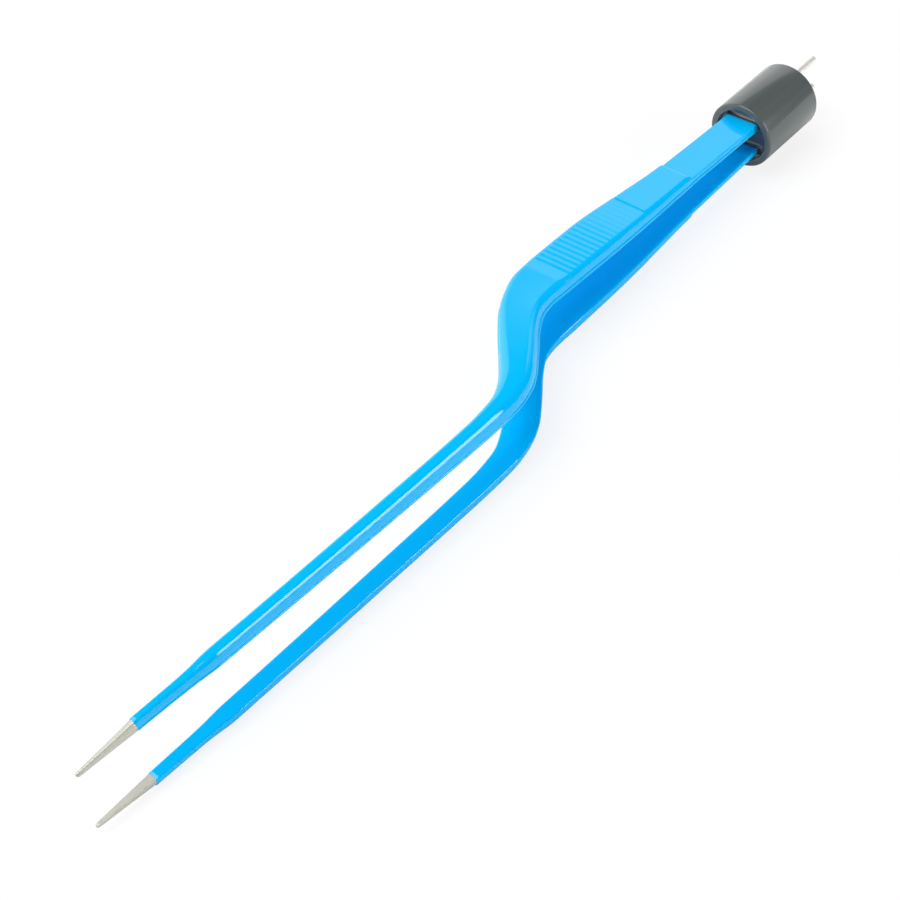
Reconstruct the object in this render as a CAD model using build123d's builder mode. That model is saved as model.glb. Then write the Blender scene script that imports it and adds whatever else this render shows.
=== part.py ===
from build123d import *
import math
import os

# Bayonet bipolar forceps, lying on its side with one arm above the other.
# The origin is the centre of the connector's rear face. +X points out along the contact pins,
# the tips point along -X, the bayonet steps over towards -Y, and the arms open along Z.
# Reach is the distance ahead of the connector's mouth, towards the tips.

# Connector
barrel_diameter = 12.7
barrel_length = 15.3
barrel_wall = 1.25
barrel_edge = 0.25
mouth_recess = 1.2
pin_plate_thickness = 2.0

# Contact pins
pin_diameter = 1.4
pin_length = 8.6
pin_spacing = 6.0
pin_shank_diameter = 2.2
pin_head_diameter = 3.4
pin_head_length = 4.0
pin_nose = 0.4

# Lengths of an arm, from the connector's mouth to the tip
strip_length = 19.5
grip_length = 37.5
bayonet_length = 27.0
shaft_length = 59.5
shoulder_length = 4.0
neck_length = 11.0
bare_tip_length = 10.0

# Sections of an arm, over its insulation
coating = 0.2
strip_width = 6.8
strip_front_width = 7.1
strip_thickness = 1.35
grip_rear_width = 7.3
grip_width = 9.3
grip_rear_thickness = 2.1
grip_thickness = 2.6
bayonet_waist = 0.35
shaft_rear_width = 4.1
shaft_rear_thickness = 2.85
shaft_middle_width = 3.3
shaft_middle_thickness = 2.45
shoulder_width = 2.7
shoulder_thickness = 2.35
neck_width = 2.3
neck_thickness = 1.95
coating_end_width = 1.8
coating_end_thickness = 1.75
tip_width = 0.95
tip_thickness = 0.8
tip_nose = 0.4
grip_side_share = 0.42
grip_crown_share = 0.66
shaft_side_share = 0.18
shaft_crown_share = 0.18

# Plan view of an arm
grip_side_step = 0.5
bayonet_offset = 14.2
bayonet_lead = 1.06
bayonet_steps = 10
shaft_bow = 0.35
shaft_toe_in = 0.8
neck_toe_in = 1.8

# Opening between the arms
mouth_half_gap = 1.9
grip_half_gap = 3.8
bayonet_half_gap = 4.62
coating_end_half_gap = 5.6
tip_half_gap = 5.6

# Serrated pad on the outer face of each grip
pad_clearance = 1.0
pad_length = 23.0
pad_width = 5.6
serration_pitch = 1.2
serration_width = 0.5
serration_depth = 0.12

# Blade tails inside the connector
tongue_end_gap = 2.5
tail_width = 5.6
tongue_length = 3.0
tongue_width = 2.2
coated_tail_length = 2.6
spacer_length = 5.5
spacer_width = 8.0
potting_skin = 0.3

# Clearances that let each arm swing
tail_clearance = 0.1
tip_touch_clearance = 0.05

grip_end = strip_length + grip_length
shaft_start = grip_end + bayonet_length
shoulder_start = shaft_start + shaft_length
neck_start = shoulder_start + shoulder_length
coating_end = neck_start + neck_length
tip_end = coating_end + bare_tip_length

mouth_x = -barrel_length
pivot_x = mouth_x + mouth_recess
plate_x = -pin_plate_thickness
tail_length = barrel_length - pin_plate_thickness - tongue_end_gap
tail_z = mouth_half_gap + strip_thickness / 2
pin_z = pin_spacing / 2
swing = math.atan((tip_half_gap - tip_touch_clearance) / (tip_end + mouth_recess))
bore_radius = barrel_diameter / 2 - barrel_wall
shaft_y = grip_side_step - bayonet_offset


def between(low, high, share):
    return low + (high - low) * share


def half_gap(reach):
    """Height of an arm's inner face above the middle plane, in three straight runs."""
    if reach <= 0:
        return mouth_half_gap
    if reach <= grip_end:
        return between(mouth_half_gap, grip_half_gap, reach / grip_end)
    if reach <= shaft_start:
        return between(grip_half_gap, bayonet_half_gap, (reach - grip_end) / bayonet_length)
    run = (reach - shaft_start) / (coating_end - shaft_start)
    return between(bayonet_half_gap, coating_end_half_gap, run)


def section(reach, y, width, thickness, heading=0.0, round_share=0.0, inset=0.0, gap=None):
    """One cross-section of an arm: flat inner face, short sides, rounded corners, flat crown.

    round_share goes from 0 for the flat-topped grip to 1 for the round-backed shaft.
    heading turns the section in plan, in degrees.
    """
    side = between(grip_side_share, shaft_side_share, round_share)
    crown = between(grip_crown_share, shaft_crown_share, round_share)
    turn = math.radians(heading)
    half = width / 2 - inset
    top = thickness - 2 * inset
    low = top * side
    flat = half * crown
    pull = 0.55
    place = Plane(
        origin=(mouth_x - reach, y, (half_gap(reach) if gap is None else gap) + inset),
        x_dir=(-math.sin(turn), math.cos(turn), 0),
        z_dir=(math.cos(turn), math.sin(turn), 0),
    )
    with BuildSketch(place) as outline:
        with BuildLine():
            Line((-half, 0), (half, 0))
            Line((half, 0), (half, low))
            Bezier((half, low), (half, between(low, top, pull)),
                   (between(half, flat, pull), top), (flat, top))
            Line((flat, top), (-flat, top))
            Bezier((-flat, top), (-between(half, flat, pull), top),
                   (-half, between(low, top, pull)), (-half, low))
            Line((-half, low), (-half, 0))
        make_face()
    return outline.sketch


def strip_sections(inset):
    """The thin springy strip between the grip and the inside of the connector."""
    sizes = (
        (strip_length + 0.5, strip_front_width), (0, strip_width), (-coated_tail_length, strip_width))
    return [section(reach, 0, width, strip_thickness, inset=inset) for reach, width in sizes]


def grip_thickness_at(reach):
    share = (reach - strip_length) / grip_length
    return between(grip_rear_thickness, grip_thickness, min(1.0, 1.6 * share))


def grip_sections(inset):
    """The grip, which widens towards the fingers' place and narrows again before the bayonet.

    The coating starts its own thickness behind the steel, so it covers the step from the strip.
    """
    rear = strip_length - coating + inset
    sections = []
    for share, widened, sidewards in ((0, 0, -0.1), (0.33, 0.52, 0.3), (0.66, 1, 0.9), (1, 0.87, 1)):
        reach = between(rear, grip_end, share)
        sections.append(section(
            reach, sidewards * grip_side_step, between(grip_rear_width, grip_width, widened),
            grip_thickness_at(reach), inset=inset))
    return sections


def bayonet_sections(inset):
    """The bayonet: a smooth step sideways in plan, narrowing and rounding as it goes."""
    start_width = between(grip_rear_width, grip_width, 0.87)
    sections = []
    for step in range(bayonet_steps + 1):
        along = step / bayonet_steps
        eased = along ** bayonet_lead
        across = eased ** 2 * (3 - 2 * eased)
        slope = 6 * eased * (1 - eased) * bayonet_lead * along ** (bayonet_lead - 1)
        heading = math.degrees(math.atan(slope * bayonet_offset / bayonet_length))
        width = between(start_width, shaft_rear_width, along)
        width -= bayonet_waist * math.sin(2 * math.pi * along)
        sections.append(section(
            grip_end + along * bayonet_length, grip_side_step - across * bayonet_offset, width,
            between(grip_thickness, shaft_rear_thickness, along), heading, along, inset))
    return sections


def shaft_line(reach):
    """Sideways place of the shaft, the neck and the tip, which toe in towards the axis."""
    run = min(reach, shoulder_start) - shaft_start
    beyond = max(0.0, reach - shoulder_start)
    bow = shaft_bow * math.sin(math.pi * min(1.0, run / shaft_length) ** 0.5)
    return (shaft_y - bow + run * math.tan(math.radians(shaft_toe_in))
            + beyond * math.tan(math.radians(neck_toe_in)))


def shaft_sections(inset):
    """The slowly tapering shaft."""
    sizes = (
        (0, shaft_rear_width, shaft_rear_thickness),
        (0.12, between(shaft_rear_width, shaft_middle_width, 0.56), shaft_rear_thickness - 0.05),
        (0.47, shaft_middle_width, shaft_middle_thickness),
        (1, shoulder_width, shoulder_thickness),
    )
    return [section(shaft_start + share * shaft_length,
                    shaft_line(shaft_start + share * shaft_length), width, thickness,
                    0, 1, inset) for share, width, thickness in sizes]


def neck_sections(inset):
    """The shoulder and the slimmer neck, up to where the insulation ends."""
    sizes = (
        (shoulder_start, shoulder_width, shoulder_thickness),
        (neck_start, neck_width, neck_thickness),
        (coating_end, coating_end_width, coating_end_thickness),
    )
    return [section(reach, shaft_line(reach), width, thickness, 0, 1, inset)
            for reach, width, thickness in sizes]


def tip_sections():
    """The bare tip: a full taper with a small rounded nose."""
    bare_width = coating_end_width - 2 * coating
    bare_thickness = coating_end_thickness - 2 * coating
    nose_start = tip_end - tip_nose
    middle = between(coating_end, nose_start, 0.5)
    return [
        section(coating_end, shaft_line(coating_end), bare_width, bare_thickness, 0, 1,
                gap=coating_end_half_gap + coating),
        section(middle, shaft_line(middle), between(bare_width, tip_width, 0.4),
                between(bare_thickness, tip_thickness, 0.4), 0, 1,
                gap=between(coating_end_half_gap + coating, tip_half_gap, 0.5)),
        section(nose_start, shaft_line(nose_start), tip_width, tip_thickness, 0, 1,
                gap=tip_half_gap),
        section(tip_end, shaft_line(tip_end), tip_width / 2, tip_thickness / 2, 0, 1,
                gap=tip_half_gap + tip_thickness / 6),
    ]


# Upper blade: one steel strip from the tongue at its tail to its bare tip
with BuildPart() as upper_blade:
    loft(strip_sections(coating), ruled=True)
    loft(grip_sections(coating), ruled=True)
    loft(bayonet_sections(coating), ruled=True)
    loft(shaft_sections(coating), ruled=True)
    loft(neck_sections(coating), ruled=True)
    loft(tip_sections(), ruled=True)
    with BuildSketch(Plane.XY.offset(mouth_half_gap + coating)):
        with Locations((mouth_x + coated_tail_length, 0)):
            Rectangle(tail_length - coated_tail_length - tongue_length, tail_width,
                      align=(Align.MIN, Align.CENTER))
            Rectangle(tail_length - coated_tail_length, tongue_width,
                      align=(Align.MIN, Align.CENTER))
    extrude(amount=strip_thickness - 2 * coating)
upper_blade.part.label = "upper_blade"

# Upper insulation: the coating round that blade, open at both ends, with the serrated pad
with BuildPart() as upper_insulation:
    loft(strip_sections(0), ruled=True)
    loft(grip_sections(0), ruled=True)
    loft(bayonet_sections(0), ruled=True)
    loft(shaft_sections(0), ruled=True)
    loft(neck_sections(0), ruled=True)
    add(upper_blade.part, mode=Mode.SUBTRACT)
    pad_end = grip_end - pad_clearance
    with BuildSketch(Plane.XZ.offset(-grip_side_step)):
        for groove in range(int(pad_length / serration_pitch)):
            reach = pad_end - groove * serration_pitch
            outer = half_gap(reach) + grip_thickness_at(reach)
            flank = serration_width / 2
            with BuildLine():
                Polyline(
                    (mouth_x - reach, outer - serration_depth),
                    (mouth_x - reach + 3 * flank, outer + 2 * serration_depth),
                    (mouth_x - reach - 3 * flank, outer + 2 * serration_depth), close=True,
                )
            make_face()
    extrude(amount=pad_width / 2, both=True, mode=Mode.SUBTRACT)
upper_insulation.part.label = "upper_insulation"

with BuildPart() as lower_blade:
    add(upper_blade.part)
    mirror(about=Plane.XY, mode=Mode.REPLACE)
lower_blade.part.label = "lower_blade"

with BuildPart() as lower_insulation:
    add(upper_insulation.part)
    mirror(about=Plane.XY, mode=Mode.REPLACE)
lower_insulation.part.label = "lower_insulation"

# Connector shell: a plain tube with softened outer edges
with BuildPart() as connector_shell:
    with BuildSketch(Plane.YZ.offset(mouth_x)):
        Circle(barrel_diameter / 2)
        Circle(bore_radius, mode=Mode.SUBTRACT)
    extrude(amount=barrel_length)
    chamfer(connector_shell.edges().filter_by(GeomType.CIRCLE).group_by(SortBy.RADIUS)[-1],
            barrel_edge)
connector_shell.part.label = "connector_shell"

# Tail pocket: flared outwards, so that a tail can swing in it, and wider at the coated part
pocket_low = mouth_half_gap - tail_clearance
pocket_high = mouth_half_gap + strip_thickness + tail_clearance
with BuildPart() as tail_pocket:
    for held, width in ((tail_length, tail_width), (coated_tail_length, strip_width)):
        depth = held - mouth_recess + 0.3
        with BuildSketch(Plane.XZ):
            with BuildLine():
                Polyline(
                    (pivot_x - 0.01, pocket_low), (pivot_x + depth, pocket_low),
                    (pivot_x + depth, pocket_high + math.tan(swing) * depth),
                    (pivot_x - 0.01, pocket_high), close=True,
                )
            make_face()
        extrude(amount=width / 2 + tail_clearance, both=True)

# Contact pins: turned, with a thicker shank in the plate and a slotted head for the tongue
with BuildPart() as upper_contact_pin:
    with BuildSketch(Plane.YZ.offset(plate_x - pin_head_length)):
        with Locations((0, pin_z)):
            Circle(pin_head_diameter / 2)
    extrude(amount=pin_head_length)
    with BuildSketch(Plane.YZ.offset(plate_x)):
        with Locations((0, pin_z)):
            Circle(pin_shank_diameter / 2)
    extrude(amount=pin_plate_thickness)
    with BuildSketch(Plane.YZ):
        with Locations((0, pin_z)):
            Circle(pin_diameter / 2)
    extrude(amount=pin_length)
    chamfer(upper_contact_pin.edges().filter_by(GeomType.CIRCLE).sort_by(Axis.X)[-1], pin_nose)
    add(tail_pocket.part, mode=Mode.SUBTRACT)
upper_contact_pin.part.label = "upper_contact_pin"

with BuildPart() as lower_contact_pin:
    add(upper_contact_pin.part)
    mirror(about=Plane.XY, mode=Mode.REPLACE)
lower_contact_pin.part.label = "lower_contact_pin"

# Blade spacer: the insulating block between the two tails
with BuildPart() as blade_spacer:
    with Locations((pivot_x + 1.0 + spacer_length / 2, 0, 0)):
        Box(spacer_length, spacer_width, 2 * (pocket_low - potting_skin))
blade_spacer.part.label = "blade_spacer"

# Pin plate: the insulating disc that closes the rear and carries both pins
with BuildPart() as pin_plate:
    with BuildSketch(Plane.YZ.offset(plate_x)):
        Circle(bore_radius)
        with Locations((0, pin_z), (0, -pin_z)):
            Circle(pin_shank_diameter / 2, mode=Mode.SUBTRACT)
    extrude(amount=pin_plate_thickness)
pin_plate.part.label = "pin_plate"

# Potting: the filling round the tails, the spacer and the pin heads
with BuildPart() as potting:
    with BuildSketch(Plane.YZ.offset(pivot_x)):
        Circle(bore_radius)
    extrude(amount=plate_x - pivot_x)
    with BuildSketch(Plane.YZ.offset(plate_x - pin_head_length)):
        with Locations((0, pin_z), (0, -pin_z)):
            Circle(pin_head_diameter / 2)
    extrude(amount=pin_head_length, mode=Mode.SUBTRACT)
    add(blade_spacer.part, mode=Mode.SUBTRACT)
    add(tail_pocket.part, mode=Mode.SUBTRACT)
    add(tail_pocket.part.mirror(Plane.XY), mode=Mode.SUBTRACT)
potting.part.label = "potting"

pieces = [
    upper_blade, lower_blade, upper_insulation, lower_insulation, connector_shell, potting,
    blade_spacer, pin_plate, upper_contact_pin, lower_contact_pin,
]
os.makedirs("parts", exist_ok=True)
for piece in pieces:
    export_step(piece.part, f"parts/{piece.part.label}.step")

print("swing to closed, degrees:", round(math.degrees(swing), 3))
print("tip reach, pivot x, pin z:", tip_end, round(pivot_x, 3), pin_z)
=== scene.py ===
import bpy
import bmesh
import math
from mathutils import Matrix, Vector


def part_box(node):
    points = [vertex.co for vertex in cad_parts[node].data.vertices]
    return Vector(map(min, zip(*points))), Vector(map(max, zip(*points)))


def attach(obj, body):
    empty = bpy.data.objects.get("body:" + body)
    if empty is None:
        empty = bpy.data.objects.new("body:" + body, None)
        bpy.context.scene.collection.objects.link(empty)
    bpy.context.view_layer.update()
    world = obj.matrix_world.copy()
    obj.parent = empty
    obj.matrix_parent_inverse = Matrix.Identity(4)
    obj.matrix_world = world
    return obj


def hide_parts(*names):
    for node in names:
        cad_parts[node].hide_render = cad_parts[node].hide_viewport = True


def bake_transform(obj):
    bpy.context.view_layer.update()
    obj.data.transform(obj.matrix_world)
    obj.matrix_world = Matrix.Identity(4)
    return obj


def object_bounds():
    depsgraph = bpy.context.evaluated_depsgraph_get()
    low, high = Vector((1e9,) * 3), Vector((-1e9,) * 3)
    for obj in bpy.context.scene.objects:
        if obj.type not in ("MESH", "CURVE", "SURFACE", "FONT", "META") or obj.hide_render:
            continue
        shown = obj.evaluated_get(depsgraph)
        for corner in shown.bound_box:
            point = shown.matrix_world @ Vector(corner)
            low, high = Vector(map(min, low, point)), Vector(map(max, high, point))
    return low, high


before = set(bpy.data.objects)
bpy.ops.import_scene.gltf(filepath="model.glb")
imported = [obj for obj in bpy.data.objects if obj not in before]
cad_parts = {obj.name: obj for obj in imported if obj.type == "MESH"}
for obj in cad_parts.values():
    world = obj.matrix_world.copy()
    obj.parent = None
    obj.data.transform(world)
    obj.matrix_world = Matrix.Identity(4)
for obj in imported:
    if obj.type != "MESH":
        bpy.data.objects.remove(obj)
cad_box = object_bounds()

# Shapes are worked out in millimetres, and each finished mesh is scaled to metres once.
mm = 0.001
shell_low, shell_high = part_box("connector_shell")
blade_low, blade_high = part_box("upper_blade")
coating_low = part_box("upper_insulation")[0]

# Connector and pins, in millimetres, with the same axes as the frame
mouth_x = shell_low.x / mm
barrel_radius = shell_high.z / mm
bore_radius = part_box("potting")[1].z / mm
barrel_edge = 0.35
bore_edge = 0.2
resin_face_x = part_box("potting")[0].x / mm
resin_creep = 0.45
collar_size = 0.75
plate_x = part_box("pin_plate")[0].x / mm

# An arm: reach is the distance ahead of the connector's mouth, towards the tips
coating = 0.12
tail_reach = mouth_x - blade_high.x / mm
coated_tail_reach = -2.4
grip_rear_reach = 19.4
coating_end_reach = mouth_x - coating_low.x / mm
tip_inset = 0.01
tip_reach = mouth_x - blade_low.x / mm - tip_inset
step_length = 1.0
bead_sizes = ((-11, 0.32), (57, 0.42), (84, 0.32), (143, 0.24), (169, 0.2))
bead_turn_deg = 155

# Each pair is a reach and the value there; the values between follow a smooth curve.
arm_line = (
    (-11, 0), (0, 0), (19.5, 0.05), (32, 0.25), (44, 0.55), (57, 0.5), (62.5, -0.75), (67.5, -3.8),
    (72.5, -7.8), (78, -11.65), (84, -13.5), (91, -13.88), (112, -13.6), (143.5, -12.9),
    (158.5, -12.4), (169, -12.1))
strip_widths = ((-11, 6.8), (0, 6.8), (19.5, 7.1), (30, 7.3))
grip_widths = (
    (0, 7.3), (19.5, 7.35), (32, 8.5), (44, 9.45), (57, 9.25), (62.5, 7.9), (67.5, 6.9),
    (72.5, 6.4), (78, 5.8), (84, 4.4), (91, 3.7), (112, 3.35), (140, 2.9), (144.3, 2.86),
    (148.6, 2.25), (158.5, 1.85), (169, 1.6))
grip_thicknesses = (
    (0, 2.1), (19.5, 2.1), (32, 2.4), (42, 2.6), (57, 2.6), (84, 2.8), (91, 2.75), (112, 2.5),
    (140, 2.3), (144.3, 2.28), (148.6, 1.9), (158.5, 1.75), (169, 1.6))
half_gaps = ((-11, 1.9), (0, 1.9), (57, 3.8), (84, 4.62), (158.5, 5.6), (169, 5.6))
strip_thickness = 1.35
corner_sides = ((0, 0.5), (57, 0.45), (84, 0.25), (169, 0.3))
corner_crowns = ((0, 0.74), (32, 0.72), (57, 0.7), (84, 0.3), (169, 0.3))
strip_corner_side = 0.66
strip_corner_crown = 0.9
blur = 1.1
slope_step = 0.1

# How half a cross-section is drawn: the run before and after a bead counts in the bead's radius
bead_run_in = 1.6
bead_run_out = 0.3
bead_steps = 9
corner_pull = 0.55
corner_steps = 10
flat_shares = (0.96, 0.9, 0.6, 0.3, 0)

# The steel inside the coating: its width is smaller than the coating's by this many beads
steel_beads_narrower = 1.2
steel_edge = 0.12
skin_clearance = 0.005
coating_end_edge = 0.06

# Serrated pad on the outer face of each grip
pad_start = 32.6
pad_end = 56.2
pad_wall = 0.15
pad_fade = 2.5
pad_sink = 0.1
serration_pitch = 1.2
serration_depth = 0.014
pad_corner = 0.3
pad_crown_gain = 0.05
sections_per_serration = 10

# Stretches of an arm, as start, end and the spacing of the cross-sections in between
coating_stretches = (
    (coated_tail_reach, grip_rear_reach - 0.4, 1.0),
    (grip_rear_reach - 0.1, grip_rear_reach + step_length + 0.1, 0.04),
    (grip_rear_reach + step_length + 0.8, pad_start - 0.6, 0.8),
    (pad_start - 0.2, pad_end + 0.2, serration_pitch / sections_per_serration),
    (pad_end + 0.8, coating_end_reach - 0.12, 0.7))
skin_inside_stretch = (coated_tail_reach, coating_end_reach, 1.5)
covered_steel_stretch = (tail_reach, coating_end_reach - 0.3, 1.5)
tip_start_reach = coating_end_reach - 0.2
tip_spacing = 0.5

# Bare tip
tip_root_width = 1.62
tip_root_thickness = 1.5
tip_end_width = 0.65
tip_end_thickness = 0.6
tip_nose = 0.45
tip_taper_power = 0.9
tip_side = 0.25
tip_crown = 0.3
tip_edge_share = 0.2
nose_end_share = 0.02
nose_steps = 8

# Round bodies and the resin's creep
round_segments = 96
rim_segments = 5
creep_turns_deg = range(0, 91, 15)
collar_root = 0.3
collar_clearance = 0.004
sharp_edge_deg = 35

# How near counts as the same place, in millimetres
same_place = 1e-6
same_radius = 1e-3
merge_distance = 1e-5
spin_merge_distance = 1e-4

# Camera, in metres, with the photograph's frame taken as 900 by 900
frame_side_px = 900
focal_length_px = 1838
sensor_mm = 36
camera_place = Vector((-0.24526, -0.15143, 0.19838))
camera_looks = Vector((0.4943, 0.5071, -0.7061)).normalized()
camera_up = Vector((0.58, 0.4126, 0.7024))
camera_clip_start = 0.01

# Studio, in metres and watts; the low panel's edges are parts of a direction of length 1
panel_full_below = 0.575
panel_ends_above = 0.625
panel_strength = 1.3
surround_strength = 0.04
panel_starts_behind = -0.1
panel_full_behind = 0.2
floor_side = 6
floor_roughness = 0.9
floor_specular = 0.1
floor_lightening = 0.82
key_offset = Vector((-0.3, 0.2, 0.9))
key_side = 0.85
key_power = 9.3
streak_place = Vector((0.175, -0.6, 0.243))
streak_width = 0.3
streak_height = 0.34
streak_power = 2.6

# Finishes, in linear colour, with the bump's height in metres
bump_height = 0.0001
grain_detail = 3
# Painted reflection: faint lengthwise bands in the barrel's colour that stand in for the studio's
# reflections on its gloss
reflection_band_detail = 2
reflection_band_scale = 420
reflection_band_stretch = (0.02, 1, 1)
coating_blue = (0.0, 0.47, 0.93, 1)
barrel_black = (0.085, 0.1, 0.1, 1)
resin_black = (0.065, 0.078, 0.09, 1)
tip_steel = (0.52, 0.515, 0.455, 1)
pin_nickel = (0.9, 0.87, 0.84, 1)
spacer_cream = (0.5, 0.48, 0.42, 1)
floor_white = (0.97, 0.97, 0.965, 1)


def between(low, high, share):
    return low + (high - low) * share


def eased(share):
    """Goes from 0 to 1 with a soft start and a soft end."""
    share = min(1.0, max(0.0, share))
    return share * share * (3 - 2 * share)


def curve_through(stations, reach):
    """Value at reach on a curve through the stations that never overshoots them."""
    if reach <= stations[0][0]:
        return stations[0][1]
    if reach >= stations[-1][0]:
        return stations[-1][1]
    runs = [(b[0] - a[0], (b[1] - a[1]) / (b[0] - a[0])) for a, b in zip(stations, stations[1:])]
    here = next(i for i in range(len(runs)) if reach <= stations[i + 1][0])
    slopes = []
    for i in (here, here + 1):
        if i in (0, len(runs)):
            slopes.append(runs[min(i, len(runs) - 1)][1])
        elif runs[i - 1][1] * runs[i][1] <= 0:
            slopes.append(0.0)
        else:
            w1, w2 = 2 * runs[i][0] + runs[i - 1][0], runs[i][0] + 2 * runs[i - 1][0]
            slopes.append((w1 + w2) / (w1 / runs[i - 1][1] + w2 / runs[i][1]))
    length = runs[here][0]
    s = (reach - stations[here][0]) / length
    low, high = stations[here][1], stations[here + 1][1]
    return (low * (1 + 2 * s) * (1 - s) ** 2 + high * s * s * (3 - 2 * s)
            + length * (slopes[0] * s * (1 - s) ** 2 - slopes[1] * s * s * (1 - s)))


def straight_through(stations, reach):
    """Value at reach on straight runs between the stations."""
    for (a, low), (b, high) in zip(stations, stations[1:]):
        if reach <= b:
            return between(low, high, (max(reach, a) - a) / (b - a))
    return stations[-1][1]


def smooth(stations, reach, through=curve_through):
    """A curve averaged over a short stretch, so that its curvature is even too."""
    offsets = (-1, -0.5, 0, 0.5, 1)
    return sum(through(stations, reach + blur * k) for k in offsets) / len(offsets)


def grip_share(reach):
    """0 on the springy strip, 1 from the grip on, with a rounded shoulder on the step between."""
    left = 1 - min(1.0, max(0.0, (reach - grip_rear_reach) / step_length))
    return math.sqrt(1 - left * left)


def pad_share(reach):
    """1 on the serrated pad and 0 elsewhere."""
    return eased((reach - pad_start) / pad_wall) * eased((pad_end - reach) / pad_fade)


def serration(reach):
    """Depth of the serrations at reach, as soft grooves between soft ridges."""
    wave = 0.5 - 0.5 * math.cos(2 * math.pi * (reach - pad_start) / serration_pitch)
    return pad_share(reach) * (pad_sink + serration_depth * wave)


def arm_sizes(reach):
    """An arm's width, thickness, corner's side and crown, and inner bead, at reach."""
    share = grip_share(reach)
    crown = smooth(corner_crowns, reach) + pad_crown_gain * pad_share(reach)
    return (
        between(curve_through(strip_widths, reach), smooth(grip_widths, reach), share),
        between(strip_thickness, smooth(grip_thicknesses, reach), share),
        between(strip_corner_side, smooth(corner_sides, reach), share),
        between(strip_corner_crown, crown, share),
        curve_through(bead_sizes, reach),
    )


def outline(width, thickness, side, crown, edge, inset=0.0, bead=0):
    """One half of an arm's cross-section, from the middle of its inner face to its crown.

    The coating ends its inner face in a bead of radius edge, which stands proud of the side.
    """
    half = width / 2 - inset
    top = thickness - inset
    flat = half * crown
    turn_end = math.radians(bead_turn_deg if bead else 90)
    points = [(0, inset), (half / 2, inset), (half - edge * bead_run_in, inset)]
    for step in range(bead_steps + 1):
        turn = turn_end * step / bead_steps
        points.append((half - edge + edge * math.sin(turn), inset + edge * (1 - math.cos(turn))))
    wall, low = points[-1]
    start = max(thickness * side, low + edge * bead_run_out)
    points.append((wall, between(low, start, 0.5)))
    for step in range(corner_steps + 1):
        s = step / corner_steps
        a, b, c, d = (1 - s) ** 3, 3 * s * (1 - s) ** 2, 3 * s * s * (1 - s), s ** 3
        points.append(((a + b) * wall + c * between(wall, flat, corner_pull) + d * flat,
                       a * start + b * between(start, top, corner_pull) + (c + d) * top))
    points += [(flat * share, top) for share in flat_shares]
    return points


def placed(reach, points, groove=0.0):
    """The whole cross-section at reach, set square to the arm's line, as points in space."""
    slope = ((smooth(arm_line, reach + slope_step) - smooth(arm_line, reach - slope_step))
             / (2 * slope_step))
    turn = math.atan(-slope)
    middle = Vector((mouth_x - reach, smooth(arm_line, reach),
                     smooth(half_gaps, reach, straight_through)))
    across = Vector((-math.sin(turn), math.cos(turn), 0))
    top = points[-1][1]
    ring = []
    for side, v in points + [(-u, v) for u, v in reversed(points[1:-1])]:
        cut = groove * eased(1 - (top - v) / pad_corner)
        ring.append(middle + across * side + Vector((0, 0, v - cut)))
    return ring


def reaches(start, end, step):
    count = max(1, round((end - start) / step))
    return [between(start, end, i / count) for i in range(count + 1)]


def sweep(shape, rings):
    """Extrudes a first ring through all the others and returns its first and last edges."""
    verts = bmesh.ops.create_circle(shape, segments=len(rings[0]), radius=1)["verts"]
    edges = list({edge for vert in verts for edge in vert.link_edges})
    first = edges
    for vert, place in zip(verts, rings[0]):
        vert.co = place
    for ring in rings[1:]:
        grown = bmesh.ops.extrude_edge_only(shape, edges=edges)["geom"]
        new = {item for item in grown if isinstance(item, bmesh.types.BMVert)}
        edges = [item for item in grown if isinstance(item, bmesh.types.BMEdge)
                 and item.verts[0] in new and item.verts[1] in new]
        old_to_new = {}
        for vert in new:
            for edge in vert.link_edges:
                if edge.other_vert(vert) not in new:
                    old_to_new[edge.other_vert(vert)] = vert
        verts = [old_to_new[vert] for vert in verts]
        for vert, place in zip(verts, ring):
            vert.co = place
    return first, edges


def finished(shape, name, material):
    """Makes a closed bmesh into a finished piece, in metres, with soft curves and crisp edges."""
    bmesh.ops.remove_doubles(shape, verts=shape.verts, dist=merge_distance)
    bmesh.ops.scale(shape, vec=(mm, mm, mm), verts=shape.verts)
    bmesh.ops.recalc_face_normals(shape, faces=shape.faces)
    for face in shape.faces:
        face.smooth = True
    sharp = math.radians(sharp_edge_deg)
    for edge in shape.edges:
        edge.smooth = len(edge.link_faces) == 2 and edge.calc_face_angle(0) < sharp
    mesh = bpy.data.meshes.new(name)
    shape.to_mesh(mesh)
    shape.free()
    mesh.materials.append(material)
    piece = bpy.data.objects.new(name, mesh)
    bpy.context.scene.collection.objects.link(piece)
    return piece


def coating_shape():
    """The insulating coating of the upper arm: a thin skin, open at both ends for the steel."""
    shape = bmesh.new()
    skin = []
    for stretch in coating_stretches:
        for reach in reaches(*stretch):
            points = outline(*arm_sizes(reach), bead=1)
            skin.append(placed(reach, points, serration(reach)))
    points = outline(*arm_sizes(coating_end_reach), coating_end_edge, bead=1)
    skin.append(placed(coating_end_reach, points))
    outer_first, outer_last = sweep(shape, skin)
    inner = [placed(reach, steel_outline(reach, skin_clearance))
             for reach in reaches(*skin_inside_stretch)]
    inner_first, inner_last = sweep(shape, inner)
    bmesh.ops.bridge_loops(shape, edges=outer_first + inner_first)
    bmesh.ops.bridge_loops(shape, edges=outer_last + inner_last)
    return shape


def steel_outline(reach, grown=0.0):
    """The steel's cross-section under the coating, clear of its bead."""
    width, thickness, side, crown, bead = arm_sizes(reach)
    return outline(width - bead * steel_beads_narrower, thickness - coating / 2, side, crown,
                   steel_edge, coating - grown)


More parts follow.
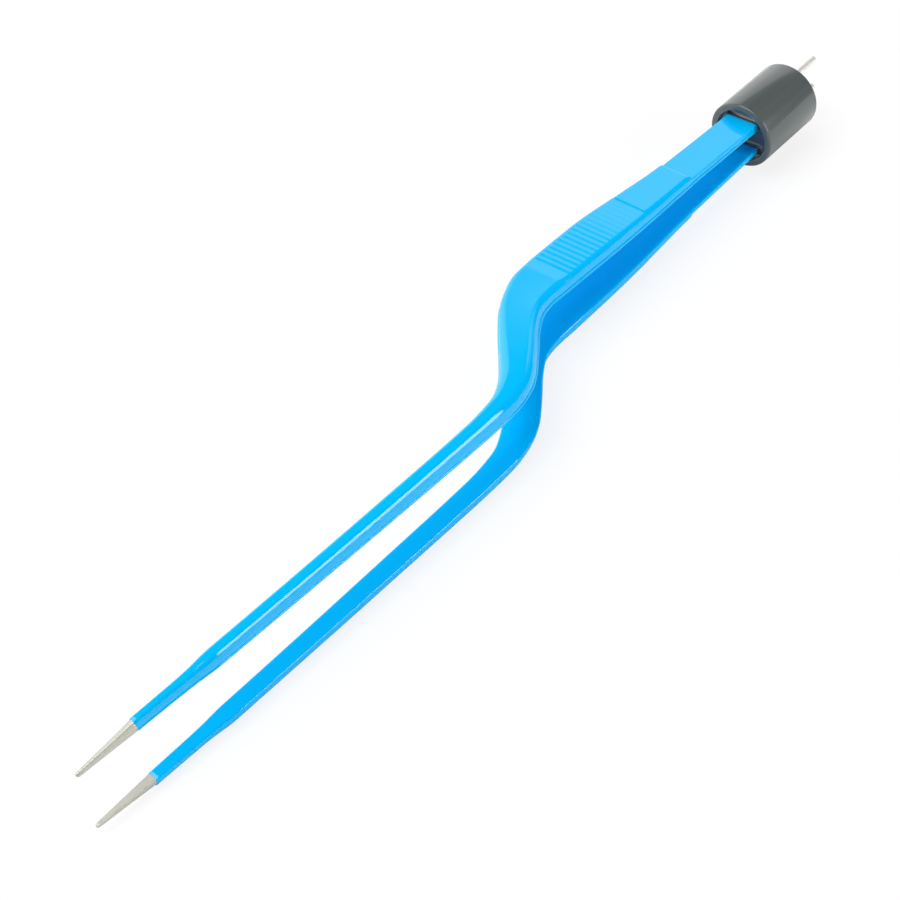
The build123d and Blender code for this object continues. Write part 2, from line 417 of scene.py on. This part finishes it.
def tip_outline(reach):
    """The bare tip's cross-section, which tapers from the coating's end to a round nose."""
    share = (reach - coating_end_reach) / (tip_reach - coating_end_reach)
    taper = share ** tip_taper_power
    nose = max(0.0, 1 - (tip_reach - reach) / tip_nose)
    shrink = math.sqrt(max(nose_end_share, 1 - nose * nose))
    width = between(tip_root_width, tip_end_width, taper) * shrink
    thickness = between(tip_root_thickness, tip_end_thickness, taper)
    points = outline(width, thickness, tip_side, tip_crown, min(steel_edge, width * tip_edge_share))
    middle = thickness / 2
    return [(u, middle + (v - middle) * shrink) for u, v in points]


def blade_shape():
    """The upper arm's steel: tongue, flat tail, the length under the coating, and the tip."""
    shape = bmesh.new()
    rings = []
    for reach in reaches(*covered_steel_stretch):
        rings.append(placed(reach, steel_outline(reach)))
    for reach in reaches(tip_start_reach, tip_reach - tip_nose, tip_spacing):
        rings.append(placed(reach, tip_outline(max(reach, coating_end_reach))))
    for step in range(1, nose_steps + 1):
        reach = tip_reach - tip_nose * (1 - math.sin(math.radians(90 * step / nose_steps)))
        rings.append(placed(reach, tip_outline(reach)))
    first, last = sweep(shape, rings)
    bmesh.ops.contextual_create(shape, geom=first)
    bmesh.ops.contextual_create(shape, geom=last)
    return shape


def mirrored(shape):
    """Turns the upper arm's shape into the lower arm's."""
    bmesh.ops.scale(shape, vec=(1, 1, -1), verts=shape.verts)
    bmesh.ops.reverse_faces(shape, faces=shape.faces)
    return shape


def turned(profile):
    """A closed round body: an (x, radius) profile spun about the X axis."""
    shape = bmesh.new()
    verts = [shape.verts.new((x, 0, radius)) for x, radius in profile]
    edges = [shape.edges.new(pair) for pair in zip(verts, verts[1:])]
    if profile[0][1] > same_place:
        edges.append(shape.edges.new((verts[-1], verts[0])))
    bmesh.ops.spin(shape, geom=verts + edges, cent=(0, 0, 0), axis=(1, 0, 0),
                   angle=2 * math.pi, steps=round_segments, use_merge=True)
    bmesh.ops.remove_doubles(shape, verts=shape.verts, dist=spin_merge_distance)
    return shape


def rounded(shape, radius_mm, size, toward=None):
    """Rounds the circular edges of a turned shape that lie at one radius from its axis."""
    edges = []
    for edge in shape.edges:
        places = [math.hypot(vert.co.y, vert.co.z) for vert in edge.verts]
        level = abs(edge.verts[0].co.x - edge.verts[1].co.x) < same_place
        at_end = toward is None or abs(edge.verts[0].co.x - toward) < same_place
        if level and at_end and all(abs(place - radius_mm) < same_radius for place in places):
            edges.append(edge)
    bmesh.ops.bevel(shape, geom=edges, offset=size, offset_type="OFFSET", segments=rim_segments,
                    profile=0.5, affect="EDGES", material=-1)


def barrel_shape():
    """The connector's round shell, with soft rims."""
    profile = [(mouth_x, barrel_radius), (0, barrel_radius), (0, bore_radius),
               (mouth_x, bore_radius)]
    shape = turned(profile)
    rounded(shape, barrel_radius, barrel_edge)
    rounded(shape, bore_radius, bore_edge, toward=mouth_x)
    return shape


def resin_shape():
    """The filling: a glossy face that creeps up the bore and up both strips."""
    turns = [math.radians(turn) for turn in creep_turns_deg]
    creep = [(resin_face_x - resin_creep * (1 - math.cos(turn)),
              bore_radius - resin_creep * (1 - math.sin(turn))) for turn in turns]
    shape = turned([(resin_face_x, 0)] + creep + [(plate_x, bore_radius), (plate_x, 0)])
    for side in (1, -1):
        collar = bmesh.new()
        rings = []
        face_reach = mouth_x - resin_face_x
        for turn in turns:
            grown = collar_size * (1 - math.sin(turn))
            reach = face_reach + collar_size * (1 - math.cos(turn))
            rings.append(placed(reach, outline(*arm_sizes(reach), -grown - collar_clearance)))
        rings.insert(0, [place + Vector((collar_root, 0, 0)) for place in rings[0]])
        first, last = sweep(collar, rings)
        bmesh.ops.contextual_create(collar, geom=first)
        bmesh.ops.contextual_create(collar, geom=last)
        if side < 0:
            mirrored(collar)
        mesh = bpy.data.meshes.new("collar")
        collar.to_mesh(mesh)
        collar.free()
        shape.from_mesh(mesh)
        bpy.data.meshes.remove(mesh)
    return shape


def link_nodes(tree, out_node, out_name, in_node, in_name):
    tree.links.new(out_node.outputs[out_name], in_node.inputs[in_name])


def math_node(tree, operation, second=None, third=None):
    """A Math node, with its second and third inputs set where they take no link."""
    node = tree.nodes.new("ShaderNodeMath")
    node.operation = operation
    for place, value in ((1, second), (2, third)):
        if value is not None:
            node.inputs[place].default_value = value
    return node


def ranged(tree, from_min, from_max, to_min=0.0, to_max=1.0):
    """A Map Range node, which holds its result at the two ends."""
    node = tree.nodes.new("ShaderNodeMapRange")
    for name, value in (("From Min", from_min), ("From Max", from_max),
                        ("To Min", to_min), ("To Max", to_max)):
        node.inputs[name].default_value = value
    return node


def new_group(name, inputs, outputs):
    """A shader node group with its sockets, and its input and output nodes."""
    group = bpy.data.node_groups.new(name, "ShaderNodeTree")
    for wanted, direction in ((inputs, "INPUT"), (outputs, "OUTPUT")):
        for socket in wanted:
            kind = "NodeSocketColor" if socket == "Color" else "NodeSocketFloat"
            group.interface.new_socket(socket, in_out=direction, socket_type=kind)
    return group, group.nodes.new("NodeGroupInput"), group.nodes.new("NodeGroupOutput")


def toned(group, inside, outside, noise, spread):
    """Sends out the colour, darker and lighter with the noise, and returns the noise about 0."""
    centred = math_node(group, "SUBTRACT", second=0.5)
    tone = math_node(group, "MULTIPLY_ADD", third=1.0)
    tinted = group.nodes.new("ShaderNodeVectorMath")
    tinted.operation = "SCALE"
    link_nodes(group, noise, "Fac", centred, 0)
    link_nodes(group, centred, "Value", tone, 0)
    link_nodes(group, inside, spread, tone, 1)
    link_nodes(group, inside, "Color", tinted, 0)
    link_nodes(group, tone, "Value", tinted, "Scale")
    link_nodes(group, tinted, "Vector", outside, "Color")
    return centred


def surface_grain_group():
    """Tone, roughness and height that vary over a surface, for every finish here."""
    group, inside, outside = new_group(
        "surface_grain", ("Color", "Grain Size", "Tone Spread", "Roughness", "Roughness Spread"),
        ("Color", "Roughness", "Height"))
    place = group.nodes.new("ShaderNodeTexCoord")
    noise = group.nodes.new("ShaderNodeTexNoise")
    noise.inputs["Detail"].default_value = grain_detail
    link_nodes(group, place, "Object", noise, "Vector")
    link_nodes(group, inside, "Grain Size", noise, "Scale")
    centred = toned(group, inside, outside, noise, "Tone Spread")
    rough = math_node(group, "MULTIPLY_ADD")
    rough.use_clamp = True
    link_nodes(group, centred, "Value", rough, 0)
    link_nodes(group, inside, "Roughness Spread", rough, 1)
    link_nodes(group, inside, "Roughness", rough, 2)
    link_nodes(group, rough, "Value", outside, "Roughness")
    link_nodes(group, noise, "Fac", outside, "Height")
    return group


def painted_reflection_bands_group():
    """Painted reflection: faint darker and lighter bands along X in the colour, standing in for the
    studio's lengthwise reflections on a glossy barrel.
    """
    group, inside, outside = new_group("painted_reflection_bands", ("Color", "Spread"), ("Color",))
    place = group.nodes.new("ShaderNodeTexCoord")
    stretched = group.nodes.new("ShaderNodeVectorMath")
    stretched.operation = "MULTIPLY"
    stretched.inputs[1].default_value = reflection_band_stretch
    noise = group.nodes.new("ShaderNodeTexNoise")
    noise.inputs["Scale"].default_value = reflection_band_scale
    noise.inputs["Detail"].default_value = reflection_band_detail
    link_nodes(group, place, "Object", stretched, 0)
    link_nodes(group, stretched, "Vector", noise, "Vector")
    toned(group, inside, outside, noise, "Spread")
    return group


surface_grain = surface_grain_group()
painted_reflection_bands = painted_reflection_bands_group()


def finish(name, color, roughness, grain=900.0, tone=0.06, spread=0.08, bump=0.02, metallic=0.0,
           coat=0.0, coat_roughness=0.03, coat_ior=1.5, specular=0.5, reflection_band_spread=0.0):
    """One finished material: a Principled surface with grain, roughness and bump variation, and
    painted reflection bands in its colour where asked.
    """
    material = bpy.data.materials.new(name)
    material.use_nodes = True
    tree = material.node_tree
    shader = tree.nodes["Principled BSDF"]
    shader.inputs["Metallic"].default_value = metallic
    shader.inputs["Specular IOR Level"].default_value = specular
    shader.inputs["Coat Weight"].default_value = coat
    shader.inputs["Coat Roughness"].default_value = coat_roughness
    shader.inputs["Coat IOR"].default_value = coat_ior
    grained = tree.nodes.new("ShaderNodeGroup")
    grained.node_tree = surface_grain
    grained.inputs["Color"].default_value = color
    grained.inputs["Grain Size"].default_value = grain
    grained.inputs["Tone Spread"].default_value = tone
    grained.inputs["Roughness"].default_value = roughness
    grained.inputs["Roughness Spread"].default_value = spread
    raised = tree.nodes.new("ShaderNodeBump")
    raised.inputs["Strength"].default_value = bump
    raised.inputs["Distance"].default_value = bump_height
    # Painted reflection bands, darker and lighter, laid over the colour
    if reflection_band_spread:
        reflection_band_node = tree.nodes.new("ShaderNodeGroup")
        reflection_band_node.node_tree = painted_reflection_bands
        reflection_band_node.inputs["Spread"].default_value = reflection_band_spread
        link_nodes(tree, grained, "Color", reflection_band_node, "Color")
        link_nodes(tree, reflection_band_node, "Color", shader, "Base Color")
    else:
        link_nodes(tree, grained, "Color", shader, "Base Color")
    link_nodes(tree, grained, "Roughness", shader, "Roughness")
    link_nodes(tree, grained, "Height", raised, "Height")
    link_nodes(tree, raised, "Normal", shader, "Normal")
    material.diffuse_color = color
    return material


blue = finish("blue_coating", coating_blue, 0.4, grain=1400, tone=0.03, bump=0.02, coat=0.75,
              coat_roughness=0.06, coat_ior=1.55, specular=0.0)
# The barrel's colour carries painted reflection bands along its length
barrel = finish("black_barrel", barrel_black, 0.3, grain=500, tone=0.06, spread=0.1, bump=0.03,
                coat=0.6, coat_roughness=0.06, specular=0.3, reflection_band_spread=0.5)
resin = finish("black_resin", resin_black, 0.3, grain=700, tone=0.15, bump=0.08, coat=0.8,
               coat_roughness=0.12)
steel = finish("satin_steel", tip_steel, 0.45, grain=2500, tone=0.08, bump=0.06, metallic=0.7)
nickel = finish("bright_nickel", pin_nickel, 0.35, grain=1500, spread=0.04, bump=0.02, metallic=0.5)
cream = finish("spacer_plastic", spacer_cream, 0.5, grain=800, bump=0.1)


for arm, side in (("upper", 1), ("lower", -1)):
    skin, strip = coating_shape(), blade_shape()
    if side < 0:
        skin, strip = mirrored(skin), mirrored(strip)
    for shape, part, node, material, slot in (
            (skin, "coating", "insulation", blue, "blue_coating"),
            (strip, "steel", "blade", steel, "steel")):
        piece = finished(shape, f"{arm}_{part}", material)
        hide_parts(f"{arm}_{node}")
        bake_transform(piece)

for shape, name, node, material, slot in (
        (barrel_shape(), "barrel", "connector_shell", barrel, "black_plastic"),
        (resin_shape(), "resin", "potting", resin, "black_resin")):
    piece = finished(shape, name, material)
    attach(piece, "connector")
    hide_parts(node)

finish_of_node = {
    "pin_plate": barrel, "blade_spacer": cream,
    "upper_contact_pin": nickel, "lower_contact_pin": nickel,
}
for node, material in finish_of_node.items():
    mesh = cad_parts[node].data
    mesh.materials.clear()
    mesh.materials.append(material)


def looking(place, back, up):
    """The placement of a lamp or camera that looks away from back."""
    back = back.normalized()
    right = up.cross(back).normalized()
    turn = Matrix((right, back.cross(right), back)).transposed().to_4x4()
    return Matrix.Translation(place) @ turn


def area_lamp(name, place, aim, width, height, power):
    """A soft rectangular studio lamp, its width along X, that points at aim."""
    light = bpy.data.lights.new(name, "AREA")
    light.shape = "RECTANGLE"
    light.size = width
    light.size_y = height
    light.energy = power
    lamp = bpy.data.objects.new(name, light)
    back = place - aim
    lamp.matrix_world = looking(place, back, back.cross(Vector((1, 0, 0))))
    bpy.context.scene.collection.objects.link(lamp)


def white_floor(height):
    """A plain white surface that keeps the instrument's shadow, lightened for the camera alone."""
    bpy.ops.mesh.primitive_plane_add(size=floor_side, location=(0, 0, height))
    floor = bpy.context.object
    floor.name = "floor"
    material = bpy.data.materials.new("floor_white")
    material.use_nodes = True
    tree = material.node_tree
    shader = tree.nodes["Principled BSDF"]
    shader.inputs["Base Color"].default_value = floor_white
    shader.inputs["Roughness"].default_value = floor_roughness
    shader.inputs["Specular IOR Level"].default_value = floor_specular
    ray = tree.nodes.new("ShaderNodeLightPath")
    share = math_node(tree, "MULTIPLY", second=floor_lightening)
    lit = tree.nodes.new("ShaderNodeEmission")
    mixed = tree.nodes.new("ShaderNodeMixShader")
    link_nodes(tree, ray, "Is Camera Ray", share, 0)
    link_nodes(tree, share, "Value", mixed, "Fac")
    tree.links.new(shader.outputs[0], mixed.inputs[1])
    tree.links.new(lit.outputs[0], mixed.inputs[2])
    tree.links.new(mixed.outputs[0], tree.nodes["Material Output"].inputs["Surface"])
    floor.data.materials.append(material)


def studio_world():
    """A dim surround with a bright low panel behind the instrument, and white to the camera."""
    world = bpy.data.worlds.new("studio")
    world.use_nodes = True
    tree = world.node_tree
    sky = tree.nodes["Background"]
    sky.inputs["Color"].default_value = (1, 1, 1, 1)
    direction = tree.nodes.new("ShaderNodeTexCoord")
    parts = tree.nodes.new("ShaderNodeSeparateXYZ")
    low = ranged(tree, panel_full_below, panel_ends_above, 1, 0)
    behind = ranged(tree, panel_starts_behind, panel_full_behind)
    level = math_node(tree, "MULTIPLY")
    strength = ranged(tree, 0, 1, surround_strength, panel_strength)
    ray = tree.nodes.new("ShaderNodeLightPath")
    seen = math_node(tree, "MAXIMUM")
    link_nodes(tree, direction, "Generated", parts, "Vector")
    link_nodes(tree, parts, "Z", low, "Value")
    link_nodes(tree, parts, "Y", behind, "Value")
    link_nodes(tree, low, "Result", level, 0)
    link_nodes(tree, behind, "Result", level, 1)
    link_nodes(tree, level, "Value", strength, "Value")
    link_nodes(tree, strength, "Result", seen, 0)
    link_nodes(tree, ray, "Is Camera Ray", seen, 1)
    link_nodes(tree, seen, "Value", sky, "Strength")
    bpy.context.scene.world = world


def photograph_camera():
    camera = bpy.data.objects.new("camera", bpy.data.cameras.new("camera"))
    camera.data.sensor_width = sensor_mm
    camera.data.lens = focal_length_px / frame_side_px * sensor_mm
    camera.data.clip_start = camera_clip_start
    camera.matrix_world = looking(camera_place, -camera_looks, camera_up)
    bpy.context.scene.collection.objects.link(camera)
    bpy.context.scene.camera = camera


middle = (cad_box[0] + cad_box[1]) / 2
white_floor(cad_box[0].z)
studio_world()
area_lamp("key_lamp", middle + key_offset, middle, key_side, key_side, key_power)
area_lamp("streak_lamp", streak_place, middle, streak_width, streak_height, streak_power)
photograph_camera()
bpy.context.scene.view_settings.view_transform = "Standard"
